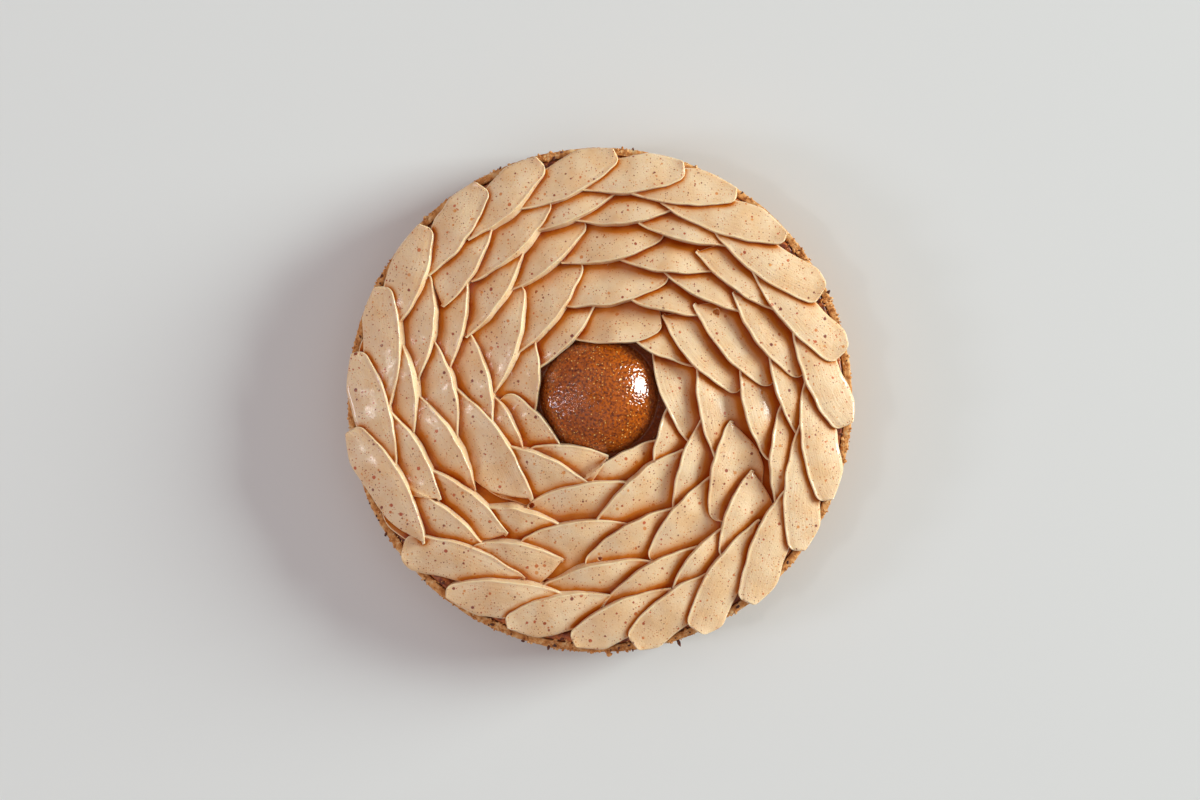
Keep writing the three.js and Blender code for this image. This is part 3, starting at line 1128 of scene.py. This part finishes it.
def specks(tree, place, cell, rare, biggest):
    """A mask of odd dots, one in a cell at most, and a random number for each cell.
    rare is the share of cells with none, and biggest the largest radius as a share of a cell."""
    around = clouds(tree, place, SPECK_BEND_SIZE, output="Color")
    bend = calc_vector(tree, "SUBTRACT", around, (0.5, 0.5, 0.5))
    bend = calc_vector(tree, "MULTIPLY", bend, [SPECK_BEND * MM] * 3)
    odd = calc_vector(tree, "ADD", place, bend)
    cells = node(tree, "ShaderNodeTexVoronoi", {"Vector": odd, "Scale": 1 / (cell * MM)})
    parts = node(tree, "ShaderNodeSeparateColor", {"Color": cells.outputs["Color"]})
    size = calc(tree, "POWER", span(tree, parts.outputs["Red"], rare, 1.0), SPECK_POWER)
    radius = calc(tree, "MULTIPLY", size, biggest)
    inside = calc(tree, "SUBTRACT", radius, cells.outputs["Distance"])
    return span(tree, inside, 0.0, SPECK_EDGE), parts.outputs["Green"]


# Materials

def new_material(name, **inputs):
    """A material with its shader's own values set. Returns it, its tree, its shader and the place."""
    material = bpy.data.materials.new(name)
    material.use_nodes = True
    tree = material.node_tree
    shader = tree.nodes["Principled BSDF"]
    for key, value in inputs.items():
        shader.inputs[key.replace("_", " ")].default_value = value
    place = node(tree, "ShaderNodeTexCoord").outputs["Object"]
    return material, tree, shader, place


def cream_material():
    material, tree, shader, place = new_material(
        "hazelnut_cream",
        Roughness=0.46,
        Subsurface_Weight=0.4,
        Subsurface_Radius=(1.0, 0.85, 0.5),
        Subsurface_Scale=1.2 * MM,
        Coat_Roughness=0.16,
        Coat_IOR=1.5,
    )
    tone = mottle(tree, place, *CREAM_MOTTLE)
    for cell, rare, biggest in CREAM_SPECKS:
        mask, hue = specks(tree, place, cell, rare, biggest)
        strength = calc(tree, "MULTIPLY", mask, CREAM_SPECK_STRENGTH)
        tone = mix(tree, strength, tone, ramp(tree, hue, CREAM_SPECK_TINTS))
    # Painted shade: the colour turns warm, then dark, where the cream lies less open
    openness = attribute(tree, "openness").outputs["Fac"]
    tone = mix(tree, span(tree, openness, *WARM_SHADE_OPENNESS), tone, linear(CREAM_WARM_SHADE))
    tone = mix(tree, span(tree, openness, *SHADE_OPENNESS), tone, linear(CREAM_SHADE))
    # The lips and their walls are paler, partly a painted highlight along the edge
    piped = attribute(tree, "piped").outputs["Vector"]
    pale = calc(tree, "MULTIPLY", axis_of(tree, piped, "Z"), patches(tree, place, *PALE_CLOUDS))
    tone = mix(tree, pale, tone, linear(CREAM_PALE_LIP_HIGHLIGHT))
    tree.links.new(tone, shader.inputs["Base Color"])
    sheen = span(tree, openness, *SHEEN_OPENNESS, *SHEEN_LEVELS)
    tree.links.new(sheen, shader.inputs["Specular IOR Level"])
    tree.links.new(patches(tree, place, *WET_CLOUDS), shader.inputs["Coat Weight"])

    # Streaks along the piping, under a fine grain, and a wet film with ripples of its own
    drawn = calc_vector(tree, "MULTIPLY", piped, STREAK_STRETCH)
    streaks = node(tree, "ShaderNodeTexNoise", {"Vector": drawn, "Scale": 1.0, "Detail": STREAK_DETAIL})
    streaked = bumps_of(tree, streaks.outputs["Fac"], *STREAK_BUMP)
    grain = bumps_of(tree, clouds(tree, place, *CREAM_BUMP_CLOUDS), *CREAM_BUMP)
    tree.links.new(streaked.outputs["Normal"], grain.inputs["Normal"])
    tree.links.new(grain.outputs["Normal"], shader.inputs["Normal"])
    film = bumps_of(tree, clouds(tree, place, *FILM_BUMP_CLOUDS), *FILM_BUMP)
    tree.links.new(film.outputs["Normal"], shader.inputs["Coat Normal"])
    return material


def praline_material():
    material, tree, shader, place = new_material(
        "hazelnut_praline",
        Roughness=0.4,
        Coat_Weight=1.0,
        Coat_Roughness=0.05,
        Coat_IOR=1.55,
        Specular_IOR_Level=0.05,
        Subsurface_Weight=0.12,
        Subsurface_Radius=(1.0, 0.4, 0.12),
        Subsurface_Scale=1.2 * MM,
    )
    tone = mottle(tree, place, *PRALINE_MOTTLE)
    for cell, rare, biggest, colour in PRALINE_SPECKS:
        mask, bold = specks(tree, place, cell, rare, biggest)
        bold = span(tree, bold, 0.0, PRALINE_SPECK_FULL, *PRALINE_SPECK_STRENGTH)
        tone = mix(tree, calc(tree, "MULTIPLY", mask, bold), tone, linear(colour))
    # Painted shade on the foot of the dome and on the pool, where the petals shade it
    level = axis_of(tree, place, "Z")
    deep = span(tree, level, (POOL_LEVEL + SHADE_ABOVE_POOL) * MM, POOL_LEVEL * MM, 0.0, POOL_SHADE_MOST)
    tone = mix(tree, deep, tone, linear(PRALINE_SPECK_AND_SHADE))
    tree.links.new(tone, shader.inputs["Base Color"])
    return material


def crust_material():
    material, tree, shader, place = new_material("shortcrust", Roughness=0.82, Specular_IOR_Level=0.25)
    tone = mottle(tree, place, *CRUST_MOTTLE)
    for cell, rare, biggest, colour in CRUST_SPECKS:
        mask = specks(tree, place, cell, rare, biggest)[0]
        tone = mix(tree, calc(tree, "MULTIPLY", mask, CRUST_SPECK_STRENGTH), tone, linear(colour))
    level = axis_of(tree, place, "Z")
    baked = span(tree, level, BAKED_FROM * MM, BAKED_TO * MM, 0.0, BAKED_MOST)
    tone = mix(tree, baked, tone, linear(CRUST_BAKED))
    tree.links.new(tone, shader.inputs["Base Color"])
    rough = bumps_of(tree, clouds(tree, place, *CRUST_BUMP_CLOUDS), *CRUST_BUMP)
    tree.links.new(rough.outputs["Normal"], shader.inputs["Normal"])
    return material


def mottled_material(name, mottling, **inputs):
    """A material with no more to it than its mottled colour."""
    material, tree, shader, place = new_material(name, **inputs)
    tree.links.new(mottle(tree, place, *mottling), shader.inputs["Base Color"])
    return material


# Camera, light and floor

def set_camera():
    camera = bpy.data.objects.new("camera", bpy.data.cameras.new("camera"))
    bpy.context.scene.collection.objects.link(camera)
    camera.data.lens = LENS
    camera.data.sensor_width = SENSOR
    camera.location = (0, 0, (SHELL_HEIGHT + FRAME_WIDTH * LENS / SENSOR) * MM)
    bpy.context.scene.camera = camera
    bpy.context.scene.view_settings.view_transform = "Standard"


def set_floor():
    half = FLOOR_HALF
    corners = [(-half, -half, 0), (half, -half, 0), (half, half, 0), (-half, half, 0)]
    floor = new_object("floor", corners, [(0, 1, 2, 3)])
    colour = {"Base Color": linear(FLOOR_COLOUR)}
    material = new_material("pale_floor", Roughness=0.7, Specular_IOR_Level=0.2, **colour)[0]
    floor.data.materials.append(material)


def area_light(name, azimuth, elevation, distance, width, tall, power, colour):
    """A rectangle of light that faces the tart."""
    light = bpy.data.lights.new(name, "AREA")
    light.shape = "RECTANGLE"
    light.size = width
    light.size_y = tall
    light.energy = power
    light.color = colour
    obj = bpy.data.objects.new(name, light)
    bpy.context.scene.collection.objects.link(obj)
    a, e = math.radians(azimuth), math.radians(elevation)
    away = Vector((math.cos(e) * math.cos(a), math.cos(e) * math.sin(a), math.sin(e)))
    obj.location = away * distance
    obj.rotation_euler = away.to_track_quat("Z", "Y").to_euler()


def set_sky():
    """A soft sky that grows brighter upwards and to the left, and is dim straight above."""
    world = bpy.data.worlds.new("soft_sky")
    bpy.context.scene.world = world
    world.use_nodes = True
    tree = world.node_tree
    towards = node(tree, "ShaderNodeTexCoord").outputs["Generated"]
    up = axis_of(tree, towards, "Z")
    steep = calc(tree, "POWER", up, SKY_POWER)
    strength = span(tree, steep, 0.0, 1.0, SKY_LOW * SKY_STRENGTH, SKY_HIGH * SKY_STRENGTH)
    clear = span(tree, up, SKY_GAP, SKY_GAP + SKY_GAP_EDGE, 1.0, SKY_GAP_LEFT)
    strength = calc(tree, "MULTIPLY", strength, clear)
    side = span(tree, axis_of(tree, towards, "X"), -1.0, 1.0, 1 + SKY_SIDE, 1 - SKY_SIDE)
    strength = calc(tree, "MULTIPLY", strength, side)
    background = tree.nodes["Background"]
    background.inputs["Color"].default_value = (*SKY_COLOUR, 1.0)
    tree.links.new(strength, background.inputs["Strength"])


def dress(obj, material):
    obj.data.materials.clear()
    obj.data.materials.append(material)
    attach(obj, "root")


set_camera()
set_floor()
area_light("key", **KEY)
area_light("fill", **FILL)
area_light("high", **HIGH)
set_sky()
crust, filling = crust_object(), filling_object()
cream, piped_heights = cream_object()
praline = praline_object()
shortcrust = crust_material()
skin = mottled_material("hazelnut_skin", SKIN_MOTTLE, Roughness=0.5, Specular_IOR_Level=0.4)
moist = mottled_material("baked_filling", FILLING_MOTTLE, Roughness=0.32, Specular_IOR_Level=0.5)
dress(crust, shortcrust)
dress(crumbs_object(piped_heights), shortcrust)
dress(skins_object(piped_heights), skin)
dress(filling, moist)
dress(cream, cream_material())
dress(praline, praline_material())
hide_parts("crust")
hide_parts("filling")
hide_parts("cream")
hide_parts("praline")
